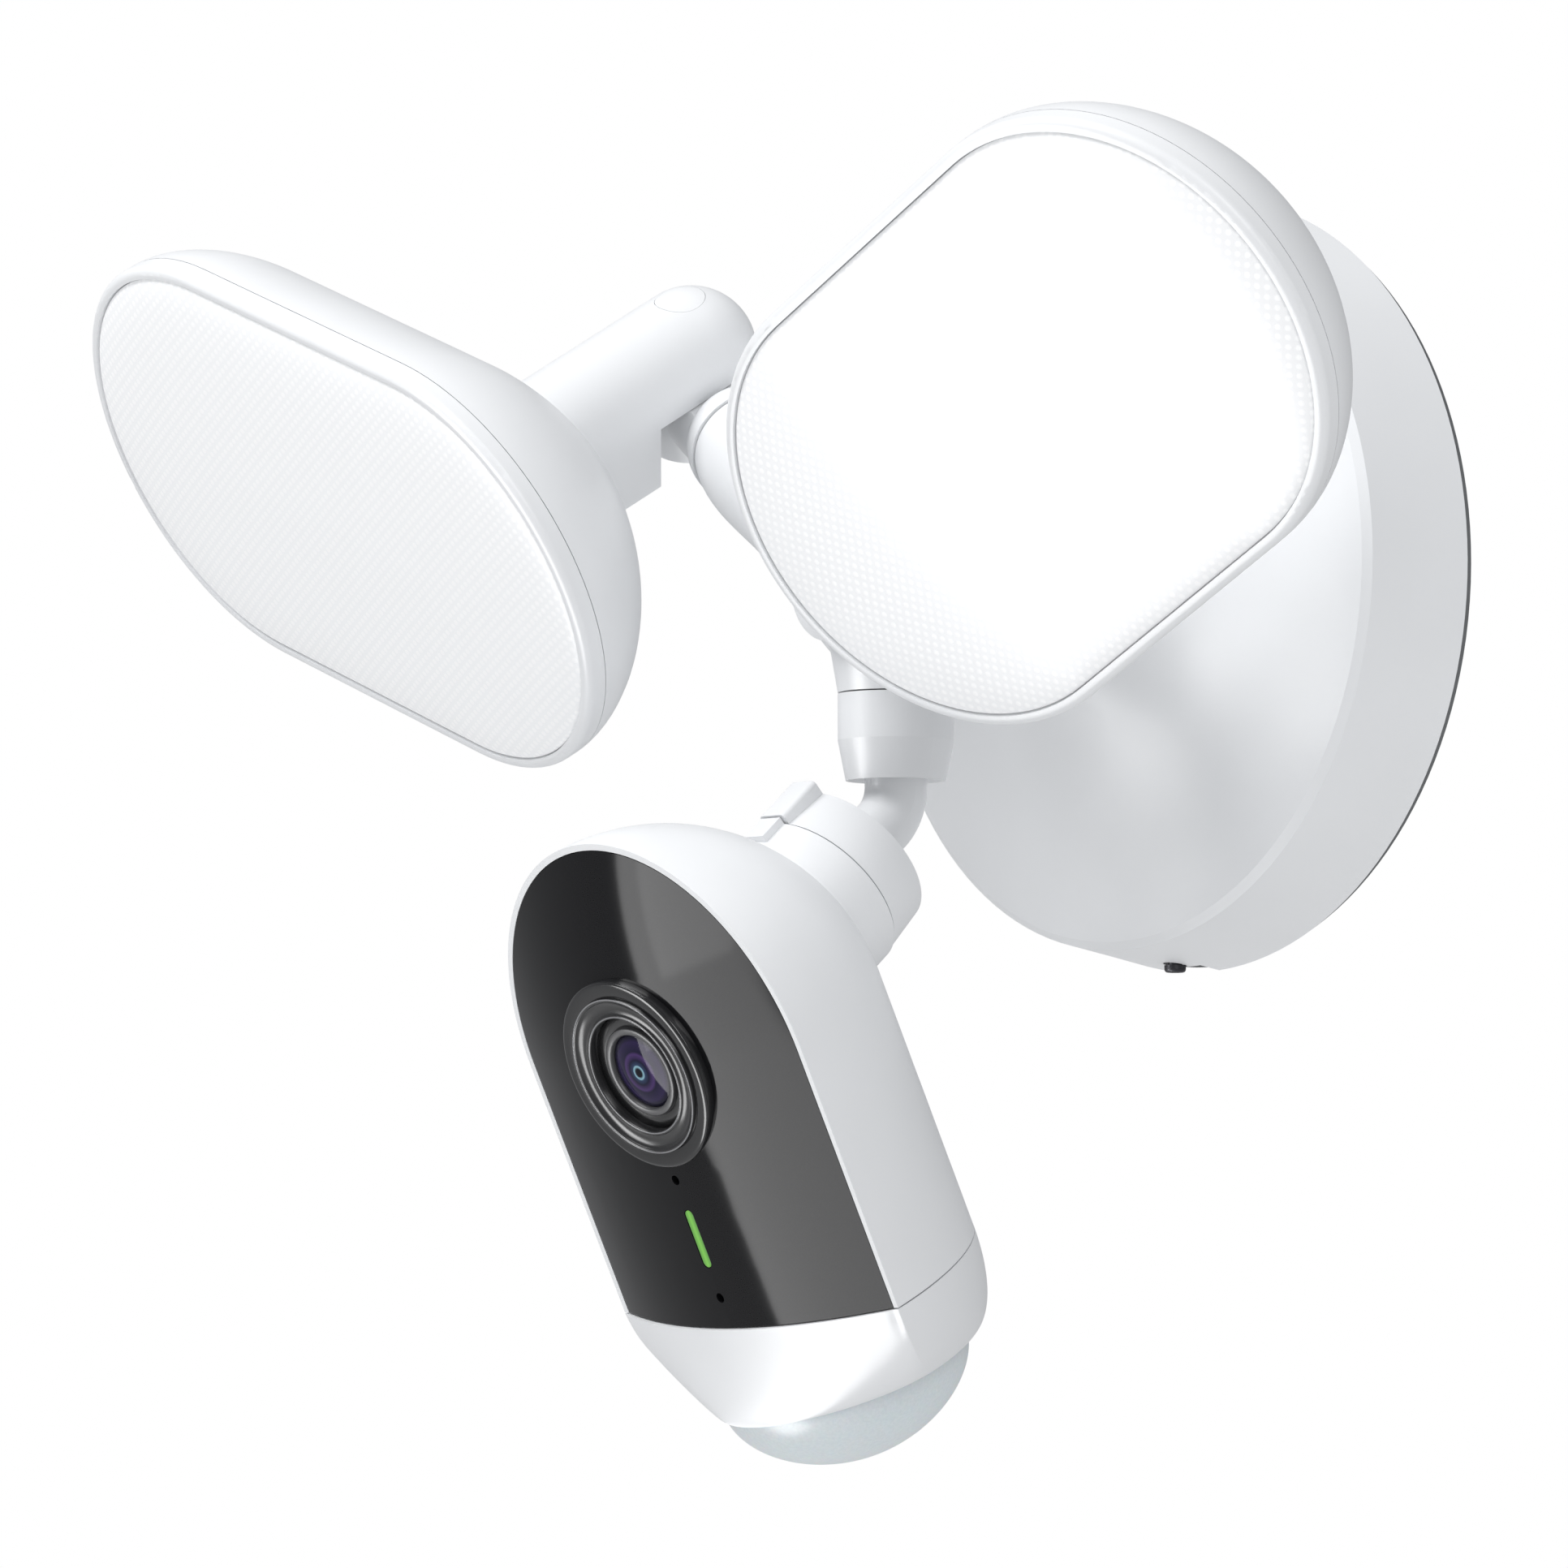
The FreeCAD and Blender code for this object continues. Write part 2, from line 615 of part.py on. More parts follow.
def stem_path(top_z, end_reach):
    """Centre line of the bent stem: down the post's axis, one arc, then along the slanted axis."""
    bend = V(0, bend_y, bend_z)
    turn = math.pi / 2 - slope
    trim = bend_radius * math.tan(turn / 2)
    arc_start = bend + V(0, 0, trim)
    arc_end = bend + stem_dir * trim
    mid_dir = (V(0, 0, 1) - stem_dir).normalize()
    to_centre = bend_radius / math.cos(turn / 2)
    inside = (stem_dir + V(0, 0, 1)).normalize()
    arc_mid = bend + inside * (to_centre - bend_radius)
    arc = Part.Arc(arc_start, arc_mid, arc_end).toShape()
    start = line(V(0, bend_y, top_z), arc_start)
    finish = line(arc_end, bend + stem_dir * end_reach)
    return Part.Wire([start, arc, finish])


def swept_tube(radius, path, top_z):
    profile = Part.Wire(Part.makeCircle(radius, V(0, bend_y, top_z), z_axis))
    return path.makePipeShell([profile], True, False)


def camera_stem():
    """The bent stem: a flange that turns in the collar, and the ball at the other end."""
    reach = (ball_place - V(0, bend_y, bend_z)).Length
    top_z = post_end_z - 4.4
    tube = swept_tube(stem_r, stem_path(top_z, reach), top_z)
    ball = Part.makeSphere(ball_r, ball_place)
    flange = cylinder(7.5, 2.2, V(0, bend_y, post_end_z - 8.6))
    body = tube.fuse(ball).fuse(flange)
    bore = swept_tube(stem_bore_r, stem_path(top_z + 1.0, reach + ball_r + 1.0), top_z + 1.0)
    mouth = Part.makeCone(stem_bore_r, 5.2, 5.0, ball_place + stem_dir * 4.0, stem_dir)
    return body.cut(bore).cut(mouth)


def ball_cup():
    """The split cup that grips the ball inside the camera's socket."""
    cup = cylinder(11.2, 12.5, ball_place - stem_dir * 5.0, stem_dir)
    cup = cup.cut(Part.makeSphere(ball_r + slip, ball_place))
    cup = cup.cut(cylinder(6.4, 30.0, ball_place, stem_dir))
    mouth = Part.makeCone(8.6, 5.6, 6.0, ball_place - stem_dir * 6.0, stem_dir)
    cup = cup.cut(mouth)
    slit = Part.makeBox(30.0, 1.2, 8.0, V(-15.0, -0.6, -4.0))
    for angle in (0, 60, 120):
        blade = slit.copy()
        blade.rotate(origin, z_axis, angle)
        blade = on_axis(blade, ball_place - stem_dir * 4.0, stem_dir)
        cup = cup.cut(blade)
    return cup


def lock_ring():
    """The ribbed ring that closes the cup on the ball."""
    back = ball_place - stem_dir * 9.0
    body = Part.makeCone(ring_r - 0.8, ring_r, ring_length, back, stem_dir)
    step = 360.0 / rib_count
    for i in range(rib_count):
        rib = box_at((rib_width, 6.0, ring_length), (0, ring_r + rib_height - 3.0, ring_length / 2))
        rib = rib.makeFillet(0.9, [e for e in rib.Edges if abs(e.tangentAt(0).z) > 0.9 and e.CenterOfMass.y > ring_r])
        rib.rotate(origin, z_axis, (i + 0.5) * step)
        body = body.fuse(on_axis(rib, back, stem_dir))
    body = body.cut(cylinder(10.0, 4.0, back - stem_dir * 0.5, stem_dir))
    funnel = Part.makeCone(11.6, 10.0, 2.4, back - stem_dir * 0.01, stem_dir)
    thread = cylinder(13.3, ring_length, back + stem_dir * 2.6, stem_dir)
    return body.cut(funnel).cut(thread)


# --- camera head, built upright with its front towards -Y and then tilted ---

head_place = FreeCAD.Placement(V(0, head_y, head_z), FreeCAD.Rotation(x_axis, head_tilt))
stem_dir_head = head_place.Rotation.inverted().multVec(stem_dir)
ball_head = head_place.inverse().multVec(ball_place)
top_stretch = panel_top / panel_half_width


def crown_points(half_width, crown):
    """The front face's section: a shallow arch from the middle to the side."""
    return [V(half_width * i / 6, -crown * (1 - (i / 6) ** 2), 0) for i in range(7)]


def arch_solid(edges, bottom):
    """Half outline in XY, turned over the top and run straight down to the bottom."""
    face = Part.Face(Part.Wire(edges))
    top = face.revolve(origin, y_axis, -180)
    stretch = FreeCAD.Matrix()
    stretch.scale(1, 1, top_stretch)
    top = top.transformGeometry(stretch)
    half = face.extrude(V(0, 0, bottom))
    lower = half.fuse(half.mirror(origin, x_axis)).removeSplitter()
    return top.fuse(lower).removeSplitter()


def crowned_solid(half_width, crown, back_y, bottom):
    """The block under the crowned front face, flat at back_y."""
    front = spline(crown_points(half_width, crown))
    edges = [front, line(V(half_width, 0, 0), V(half_width, back_y, 0)),
             line(V(half_width, back_y, 0), V(0, back_y, 0)), line(V(0, back_y, 0), V(0, -crown, 0))]
    return arch_solid(edges, bottom)


def body_solid(inset, bottom):
    """The rear body's rounded block, closed by a flat front at the rim."""
    half_width = panel_half_width + rim_w - inset
    side = [V(r, t, 0) for r, t in superellipse(half_width, head_depth - inset, 2.0)]
    edges = [spline(side), line(V(0, head_depth - inset, 0), origin), line(origin, V(half_width, 0, 0))]
    return arch_solid(edges, bottom)


def socket_cylinder(radius, low, high):
    """A cylinder on the ball's axis, between two distances towards the camera."""
    return cylinder(radius, high - low, ball_head + stem_dir_head * low, stem_dir_head)


def camera_shell():
    """The white rear body with the threaded socket for the ball, and a pocket for the card."""
    outer = body_solid(0, panel_bottom)
    core = body_solid(head_wall, panel_bottom - 1.0)
    shell = outer.cut(core)
    recess = crowned_solid(panel_half_width + 0.15, 0.6, panel_t + 0.2, panel_bottom - 1.0)
    shell = shell.cut(recess)
    socket = socket_cylinder(12.8, -5.8, 16.0).fuse(socket_cylinder(15.4, 0.6, 12.0))
    shell = shell.fuse(socket.common(body_solid(0.2, panel_bottom).fuse(socket_cylinder(16.0, -5.8, 9.0))))
    shell = shell.cut(socket_cylinder(11.4, -10.0, 8.0)).cut(socket_cylinder(6.4, 0.0, 30.0))
    stop = box_at((5.0, 5.0, 5.0), (0, 0, 0))
    stop.Placement = FreeCAD.Placement(ball_head + stem_dir_head * 3.0, FreeCAD.Rotation(z_axis, stem_dir_head))
    down = stem_dir_head.cross(x_axis)
    stop.translate(down * 14.0)
    shell = shell.fuse(stop.cut(socket_cylinder(12.0, -10.0, 8.0)))
    pocket_wall = box_at((21.0, 11.0, 17.0), (0, head_depth - 5.5, card_z)).common(outer)
    pocket = box_at((17.0, 7.0, 13.0), (0, head_depth - 2.4, card_z))
    shell = shell.fuse(pocket_wall).cut(pocket)
    shell = shell.cut(box_at((12.0, 12.0, 1.4), (-1.5, head_depth - 8.0, card_z - 3.0)))
    button_hole = cylinder(1.5 + gap, 12.0, V(5.5, head_depth - 14.0, card_z + 3.0), y_axis)
    flap_seat = box_at((20.0, 6.0, 16.0), (0, head_depth + 1.4, card_z))
    shell = shell.cut(button_hole).cut(flap_seat)
    for x, z in head_screw_places():
        boss = cylinder(3.0, 24.0, V(x, 7.5, z), y_axis).common(outer)
        shell = shell.fuse(boss).cut(cylinder(1.0, 14.0, V(x, 7.0, z), y_axis))
    return shell




def head_screw_places():
    return [(-22.0, 20.0), (22.0, 20.0), (-27.0, -40.0), (27.0, -40.0)]


def front_panel():
    """The black crowned glass, with openings for the lens, the status light and three small holes."""
    panel = crowned_solid(panel_half_width, panel_crown, panel_t, panel_bottom)
    core = crowned_solid(panel_half_width - 2.4, panel_crown, 1.0, panel_bottom - 1.0)
    core.translate(V(0, panel_t, 0))
    panel = panel.cut(core).fuse(cylinder(lens_seat_r, 3.4, V(0, -panel_crown - 0.1, 0), y_axis))
    panel = panel.cut(cylinder(14.2, 30.0, V(0, -20.0, 0), y_axis))
    for z in mic_places():
        panel = panel.cut(cylinder(0.9, 20.0, V(0, -15.0, z), y_axis))
    slot = box_at((2.2, 20.0, light_length), (0, -6.0, light_z))
    for end in (-light_length / 2, light_length / 2):
        slot = slot.fuse(cylinder(1.1, 20.0, V(0, -16.0, light_z + end), y_axis))
    return panel.cut(slot)




def mic_places():
    return (-19.4, -41.2)


def panel_seal():
    """The thin rubber frame between the panel's rim and the board carrier."""
    outer = crowned_solid(panel_half_width - 2.6, 0.01, 1.0, panel_bottom)
    inner = crowned_solid(panel_half_width - 4.6, 0.02, 2.0, panel_bottom - 1.0)
    seal = outer.cut(inner)
    seal.translate(V(0, panel_t + 0.6, 0))
    return seal


def lens_ring():
    """Stepped black ring around the lens, standing just proud of the panel."""
    front = -panel_crown - 1.2
    steps = [(14.0, 13.0, front + 0.5, 6.0), (13.0, 11.6, front, 6.0), (11.6, 10.4, front + 1.4, 5.0)]
    body = None
    for outer_r, inner_r, y, depth in steps:
        piece = ring(outer_r, inner_r, depth, V(0, y, 0), y_axis)
        body = piece if body is None else body.fuse(piece)
    return body


def lens_barrel():
    front = -panel_crown + 1.6
    barrel = ring(10.3, 7.6, 3.0, V(0, front, 0), y_axis)
    barrel = barrel.fuse(ring(9.2, 7.6, 12.0, V(0, front + 2.0, 0), y_axis))
    return barrel.fuse(ring(9.2, 4.0, 3.0, V(0, front + 11.0, 0), y_axis))


def lens_glass():
    """The front element: a shallow dome."""
    seat = cylinder(7.5, 2.0, V(0, -panel_crown + 3.2, 0), y_axis)
    ball = Part.makeSphere(14.0, V(0, -panel_crown + 1.2 + 14.0, 0))
    dome = ball.common(cylinder(7.5, 4.0, V(0, -panel_crown + 1.0, 0), y_axis))
    return seat.fuse(dome)


def sensor_board():
    board = box_at((24.0, 1.2, 24.0), (0, 12.2, 0))
    chip = box_at((7.0, 1.4, 7.0), (0, 10.9, 0))
    return board.fuse(chip)


def main_board():
    board = box_at((46.0, 1.4, 58.0), (0, 15.5, -15.0))
    for x, z in head_screw_places():
        board = board.cut(cylinder(3.3, 6.0, V(x, 12.0, z), y_axis))
    chips = [((14.0, 1.6, 14.0), (-8.0, 17.0, -8.0)), ((9.0, 1.2, 12.0), (11.0, 16.8, -10.0)),
             ((12.0, 4.0, 3.0), (0, 17.9, -38.0)), ((10.0, 2.0, 8.0), (10.0, 17.2, 6.0))]
    for size, centre in chips:
        board = board.fuse(box_at(size, centre))
    return board


def status_light():
    """The light pipe that fills the slot in the panel."""
    reach = light_length
    pipe = box_at((1.9, 7.0, reach), (0, -panel_crown + 3.6, light_z))
    for end in (-reach / 2, reach / 2):
        pipe = pipe.fuse(cylinder(0.95, 7.0, V(0, -panel_crown + 0.1, light_z + end), y_axis))
    return pipe.fuse(box_at((6.0, 1.6, 12.0), (0, -panel_crown + 7.0, light_z)))


def microphones():
    return group([box_at((5.0, 2.0, 4.0), (0, -panel_crown + 3.6, z)) for z in mic_places()])


def speaker():
    frame = ring(11.0, 8.6, 4.0, V(0, 20.0, -24.0), y_axis)
    cone = Part.makeCone(8.7, 3.5, 3.0, V(0, 20.6, -24.0), y_axis)
    magnet = cylinder(5.5, 3.4, V(0, 23.4, -24.0), y_axis)
    return frame.fuse(cone).fuse(magnet).fuse(ring(8.7, 5.0, 1.0, V(0, 23.0, -24.0), y_axis))


def chin_section(weight, z, inset, steps=40):
    """The chin's outline at one height, between the body's outline and the dome's circle."""
    half_width = panel_half_width + rim_w - inset
    circle_r = dome_r + 0.9 - inset
    points = []
    for i in range(steps):
        across = math.cos(2 * math.pi * i / steps)
        along = math.sin(2 * math.pi * i / steps)
        if along >= 0:
            body_y = (head_depth - inset) * along
        else:
            body_y = -(panel_crown + 0.5 - inset) * along ** 2
        x = (half_width * (1 - weight) + circle_r * weight) * across
        y = body_y * (1 - weight) + (dome_y + circle_r * along) * weight
        points.append(V(x, y, z))
    curve = Part.BSplineCurve()
    curve.interpolate(Points=points, PeriodicFlag=True)
    return Part.Wire(curve.toShape())


def chin_solid(inset, top_z, bottom_z):
    sections = []
    for k in (0.0, 0.3, 0.55, 0.75, 0.9, 1.0):
        weight = 1 - math.sqrt(1 - k * k)
        sections.append(chin_section(weight, top_z + (bottom_z - top_z) * k, inset))
    return Part.makeLoft(sections, True, False)


def chin_cap():
    """The white lower cover, rounded in to the motion sensor's dome."""
    top = panel_bottom - 0.25
    cap = chin_solid(0, top, chin_bottom)
    core = chin_solid(head_wall + 0.8, top + 0.1, chin_bottom + head_wall)
    cap = cap.cut(core)
    return cap.cut(cylinder(dome_r - 1.5, 4.2, V(0, dome_y, chin_bottom - 1.0)))


def pir_dome():
    """The motion sensor's domed cover, slightly pointed at the bottom."""
    def half(radius, height, top):
        curve = spline([V(r, 0, top - t) for r, t in superellipse(radius, height, 1.85)])
        edges = [curve, line(V(0, 0, top - height), V(0, 0, top)), line(V(0, 0, top), V(radius, 0, top))]
        return revolve_profile(edges)
    skin = half(dome_r, dome_height, chin_bottom - 0.1)
    skin = skin.fuse(cylinder(dome_r - 1.6, 3.0, V(0, 0, chin_bottom - 0.1)))
    core = half(dome_r - 1.4, dome_height - 2.3, chin_bottom - 1.2)
    core = core.fuse(cylinder(dome_r - 2.8, 5.0, V(0, 0, chin_bottom - 1.3)))
    dome = skin.cut(core)
    dome.translate(V(0, dome_y, 0))
    return dome


def pir_sensor():
    can = cylinder(4.6, 4.5, V(0, dome_y, chin_bottom + 6.0))
    flange = cylinder(5.2, 0.8, V(0, dome_y, chin_bottom + 10.0))
    board = cylinder(14.0, 1.2, V(0, dome_y, chin_bottom + 10.8))
    window = box_at((4.0, 4.0, 0.6), (0, dome_y, chin_bottom + 6.0))
    return can.cut(window).fuse(flange).fuse(board)


def camera_screws():
    screws = []
    for x, z in head_screw_places():
        screws.append(pan_head_screw(V(x, 7.4, z), y_axis, 1.0, 8.0, 2.2, 1.2))
    return group(screws)


def card_cover():
    """The rubber flap over the card slot and the reset button."""
    flap = box_at((19.4, 1.6, 15.4), (0, head_depth - 0.6, card_z))
    curved = body_solid(-0.4, panel_bottom)
    flap = flap.common(curved)
    lip = box_at((15.6, 1.6, 11.6), (0, head_depth - 2.1, card_z - 0.4))
    return flap.fuse(lip)


def reset_button():
    cap = cylinder(1.5, 6.9, V(5.5, head_depth - 12.0, card_z + 3.0), y_axis)
    return cap.fuse(cylinder(2.4, 0.8, V(5.5, head_depth - 12.1, card_z + 3.0), y_axis))


def make_camera_head():
    makers = (camera_shell, front_panel, panel_seal, lens_ring, lens_barrel, lens_glass, sensor_board,
              main_board, status_light, microphones, speaker, chin_cap, pir_dome, pir_sensor,
              camera_screws, card_cover, reset_button)
    for maker in makers:
        shape = maker()
        shape.Placement = head_place.multiply(shape.Placement)
        save(maker.__name__, shape)


def make_base():
    makers = (mounting_bracket, wall_gasket, back_cover, back_cover_screws, base_housing, lock_screw,
              driver_board, driver_parts, terminal_block, hub_housing, hub_cap, post_collar, stem_bush,
              camera_stem, ball_cup, lock_ring)
    for maker in makers:
        save(maker.__name__, maker())


os.makedirs("parts", exist_ok=True)
make_base()
make_lamp("right")
make_lamp("left")
make_camera_head()
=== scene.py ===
import json
import math

import bmesh
import bpy
from mathutils import Matrix, Vector


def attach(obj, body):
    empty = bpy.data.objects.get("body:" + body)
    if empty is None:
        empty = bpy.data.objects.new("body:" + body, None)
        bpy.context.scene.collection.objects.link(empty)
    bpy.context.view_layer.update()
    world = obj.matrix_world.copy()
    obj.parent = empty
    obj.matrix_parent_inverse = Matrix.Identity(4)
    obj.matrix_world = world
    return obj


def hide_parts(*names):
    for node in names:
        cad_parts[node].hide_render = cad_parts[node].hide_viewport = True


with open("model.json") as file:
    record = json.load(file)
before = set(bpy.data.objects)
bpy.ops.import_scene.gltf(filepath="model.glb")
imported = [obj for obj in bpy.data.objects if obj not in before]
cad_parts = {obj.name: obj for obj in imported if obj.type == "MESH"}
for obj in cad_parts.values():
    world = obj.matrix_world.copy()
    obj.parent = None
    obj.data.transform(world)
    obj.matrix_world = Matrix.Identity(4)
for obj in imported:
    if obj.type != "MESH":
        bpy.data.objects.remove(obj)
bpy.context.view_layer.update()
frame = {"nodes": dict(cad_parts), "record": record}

# Places in metres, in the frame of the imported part: +Z up, the wall is the plane Y = 0.
HEAD = Vector((0.0, -0.1227, -0.0863))
HEAD_TILT = math.radians(26.2)
LAMP = Vector((0.0911, -0.1204, 0.0134))
LAMP_YAW = math.radians(8.65)
LAMP_PITCH = math.radians(31.7)
LAMP_ROLL = math.radians(26.3)
PANEL_AT = (0.0, -0.127, -0.094)
MIDDLE = (0.0, -0.09, -0.02)
FLOOR_Z = -0.95
FLOOR_RADIUS = 14.0
DOT_PITCH = 0.0023
DOT_ROW = 0.00115
DOT_RADIUS = 0.0006
LENS_RADIUS = 0.0075
LIGHT_HALF_WIDTH = 0.0011

HEAD_FRAME = Matrix.Translation(HEAD) @ Matrix.Rotation(HEAD_TILT, 4, "X")
LAMP_TURN = (Matrix.Rotation(LAMP_YAW, 4, "Z") @ Matrix.Rotation(math.pi / 2 + LAMP_PITCH, 4, "X")
             @ Matrix.Rotation(LAMP_ROLL, 4, "Z"))
LAMP_FRAME = Matrix.Translation(LAMP) @ LAMP_TURN


class Nodes:
    """A small writer for one material's node tree."""

    def __init__(self, name):
        self.material = bpy.data.materials.new(name)
        self.material.use_nodes = True
        self.tree = self.material.node_tree
        self.shader = self.tree.nodes["Principled BSDF"]

    def add(self, kind, **settings):
        node = self.tree.nodes.new(kind)
        for key, value in settings.items():
            setattr(node, key, value)
        return node

    def join(self, source, target):
        self.tree.links.new(source, target)

    def put(self, value, socket):
        if isinstance(value, bpy.types.NodeSocket):
            self.join(value, socket)
        else:
            socket.default_value = value

    def math(self, operation, first, second=0.0):
        node = self.add("ShaderNodeMath", operation=operation)
        self.put(first, node.inputs[0])
        self.put(second, node.inputs[1])
        return node.outputs[0]

    def local(self, place=None, mirrored=False):
        """Object coordinates, turned into the frame of a placed sub-part when one is given."""
        coords = self.add("ShaderNodeTexCoord").outputs["Object"]
        if mirrored:
            flip = self.add("ShaderNodeMapping")
            flip.inputs["Scale"].default_value = (-1.0, 1.0, 1.0)
            self.join(coords, flip.inputs["Vector"])
            coords = flip.outputs["Vector"]
        if place is None:
            return coords
        mapping = self.add("ShaderNodeMapping", vector_type="TEXTURE")
        mapping.inputs["Location"].default_value = place.to_translation()
        mapping.inputs["Rotation"].default_value = place.to_euler("XYZ")
        self.join(coords, mapping.inputs["Vector"])
        return mapping.outputs["Vector"]

    def split(self, vector):
        node = self.add("ShaderNodeSeparateXYZ")
        self.join(vector, node.inputs[0])
        return node.outputs

    def noise(self, vector, scale, detail=3.0, rough=0.5):
        node = self.add("ShaderNodeTexNoise")
        self.join(vector, node.inputs["Vector"])
        node.inputs["Scale"].default_value = scale
        node.inputs["Detail"].default_value = detail
        node.inputs["Roughness"].default_value = rough
        return node.outputs["Fac"]

    def ramp(self, value, stops, smooth="LINEAR"):
        node = self.add("ShaderNodeValToRGB")
        node.color_ramp.interpolation = smooth
        elements = node.color_ramp.elements
        while len(elements) < len(stops):
            elements.new(0.5)
        for element, (at, colour) in zip(elements, stops):
            element.position = at
            element.color = (*colour, 1.0)
        self.join(value, node.inputs[0])
        return node.outputs["Color"]

    def span(self, value, low, high):
        node = self.add("ShaderNodeMapRange")
        self.join(value, node.inputs["Value"])
        node.inputs["To Min"].default_value = low
        node.inputs["To Max"].default_value = high
        return node.outputs["Result"]

    def bump(self, height, distance, strength=1.0, under=None):
        node = self.add("ShaderNodeBump")
        node.inputs["Strength"].default_value = strength
        node.inputs["Distance"].default_value = distance
        self.join(height, node.inputs["Height"])
        if under is not None:
            self.join(under, node.inputs["Normal"])
        return node.outputs["Normal"]

    def set(self, **sockets):
        for key, value in sockets.items():
            self.put(value, self.shader.inputs[key.replace("_", " ")])
        return self.material


def near(colour, amount):
    return tuple(max(0.0, c * (1.0 + amount)) for c in colour)


def moulded(name, colour, rough, grain=2600.0, depth=0.000012, vary=0.02, coat=0.0):
    """Moulded plastic: a fine spark-eroded grain, and slow changes of tone and gloss."""
    n = Nodes(name)
    at = n.local()
    tone = n.ramp(n.noise(at, 26.0, 2.0), [(0.3, near(colour, -vary)), (0.7, near(colour, vary))])
    fine = n.noise(at, grain, 4.0, 0.6)
    gloss = n.span(n.noise(at, 90.0, 3.0), rough - 0.04, rough + 0.04)
    n.set(Base_Color=tone, Roughness=gloss, Normal=n.bump(fine, depth), Coat_Weight=coat)
    return n.material


def metal(name, colour, rough, scratch=900.0):
    """Plated or blasted metal with a fine directional grain."""
    n = Nodes(name)
    at = n.local()
    stretch = n.add("ShaderNodeMapping")
    stretch.inputs["Scale"].default_value = (1.0, 0.12, 1.0)
    n.join(at, stretch.inputs["Vector"])
    grain = n.noise(stretch.outputs["Vector"], scratch, 5.0, 0.7)
    tone = n.ramp(grain, [(0.35, near(colour, -0.12)), (0.65, near(colour, 0.08))])
    n.set(Base_Color=tone, Metallic=1.0, Roughness=n.span(grain, rough - 0.08, rough + 0.1),
          Normal=n.bump(grain, 0.00001))
    return n.material


def circuit(name, mask, trace):
    """A circuit board: solder mask over a faint grid of tracks."""
    n = Nodes(name)
    at = n.local()
    cells = n.add("ShaderNodeTexVoronoi", distance="CHEBYCHEV", feature="F1")
    n.join(at, cells.inputs["Vector"])
    cells.inputs["Scale"].default_value = 420.0
    tracks = n.ramp(cells.outputs["Distance"], [(0.30, trace), (0.38, mask)])
    n.set(Base_Color=tracks, Roughness=0.42, Normal=n.bump(cells.outputs["Distance"], 0.00003))
    return n.material


def diffuser(name, side):
    """Frosted lamp cover: staggered rows of tiny prisms moulded under a clear gloss face, with a faint
    painted glow that stands in for light falling on it.
    """
    n = Nodes(name)
    x, y, _ = n.split(n.local(LAMP_FRAME, mirrored=side == "left"))
    row = n.math("FLOOR", n.math("DIVIDE", y, DOT_ROW))
    shift = n.math("MULTIPLY", n.math("FLOORED_MODULO", row, 2.0), 0.5)
    across = n.math("ADD", n.math("DIVIDE", x, DOT_PITCH), shift)
    du = n.math("MULTIPLY", n.math("SUBTRACT", n.math("FLOORED_MODULO", across, 1.0), 0.5), DOT_PITCH)
    dv = n.math("MULTIPLY", n.math("SUBTRACT", n.math("FRACT", n.math("DIVIDE", y, DOT_ROW)), 0.5),
                DOT_ROW)
    away = n.math("SQRT", n.math("ADD", n.math("MULTIPLY", du, du), n.math("MULTIPLY", dv, dv)))
    dot = n.span(n.math("DIVIDE", away, DOT_RADIUS), 1.0, 0.0)
    tone = n.ramp(dot, [(0.08, (0.85, 0.857, 0.865)), (0.45, (0.96, 0.965, 0.97))], "EASE")
    # The white emission is a painted glow that stands in for light on the cover. The lamp itself is not
    # lit.
    n.set(Base_Color=tone, Roughness=0.34, Normal=n.bump(dot, 0.00005, 0.5),
          Coat_Weight=0.16, Coat_Roughness=0.14, Specular_IOR_Level=0.2,
          Emission_Color=(1.0, 1.0, 1.0, 1.0), Emission_Strength=0.12)
    return n.material


def black_glass(name):
    """Smoked gloss panel with a barely visible ripple."""
    n = Nodes(name)
    at = n.local()
    speck = n.noise(at, 5200.0, 2.0)
    n.set(Base_Color=n.ramp(speck, [(0.4, (0.006, 0.006, 0.007)), (0.8, (0.010, 0.010, 0.011))]),
          Roughness=0.09, Specular_IOR_Level=0.125, Normal=n.bump(n.noise(at, 60.0, 1.0), 0.00001, 0.3))
    return n.material


def lens_rings_and_reflections(name):
    """Coated front element: dark violet, with the rings of the elements behind it; the pale cyan ring
    near the middle and the faint purple rings are painted reflections off those elements.
    """
    n = Nodes(name)
    x, _, z = n.split(n.local(HEAD_FRAME))
    radius = n.math("SQRT", n.math("ADD", n.math("MULTIPLY", x, x), n.math("MULTIPLY", z, z)))
    at = n.math("DIVIDE", radius, LENS_RADIUS)
    # Dark stops are the element rims behind the glass. The pale cyan stop at 0.155 and the purple stops
    # are painted reflections.
    rings = [(0.0, (0.002, 0.002, 0.004)), (0.10, (0.004, 0.006, 0.014)), (0.155, (0.30, 0.52, 0.62)),
             (0.19, (0.03, 0.05, 0.11)), (0.30, (0.008, 0.008, 0.03)), (0.44, (0.07, 0.035, 0.14)),
             (0.50, (0.012, 0.010, 0.035)), (0.72, (0.028, 0.018, 0.07)), (0.80, (0.012, 0.010, 0.03)),
             (1.0, (0.006, 0.006, 0.010))]
    n.set(Base_Color=n.ramp(at, rings), Roughness=0.06, Specular_IOR_Level=0.12)
    return n.material


def lit_pipe(name):
    """The lit status bar: brightest along its middle."""
    n = Nodes(name)
    x, _, _ = n.split(n.local(HEAD_FRAME))
    edge = n.math("DIVIDE", n.math("ABSOLUTE", x), LIGHT_HALF_WIDTH)
    tone = n.ramp(edge, [(0.0, (0.13, 0.44, 0.022)), (0.9, (0.05, 0.22, 0.010))])
    n.set(Base_Color=tone, Emission_Color=tone, Emission_Strength=0.26, Roughness=0.3)
    return n.material


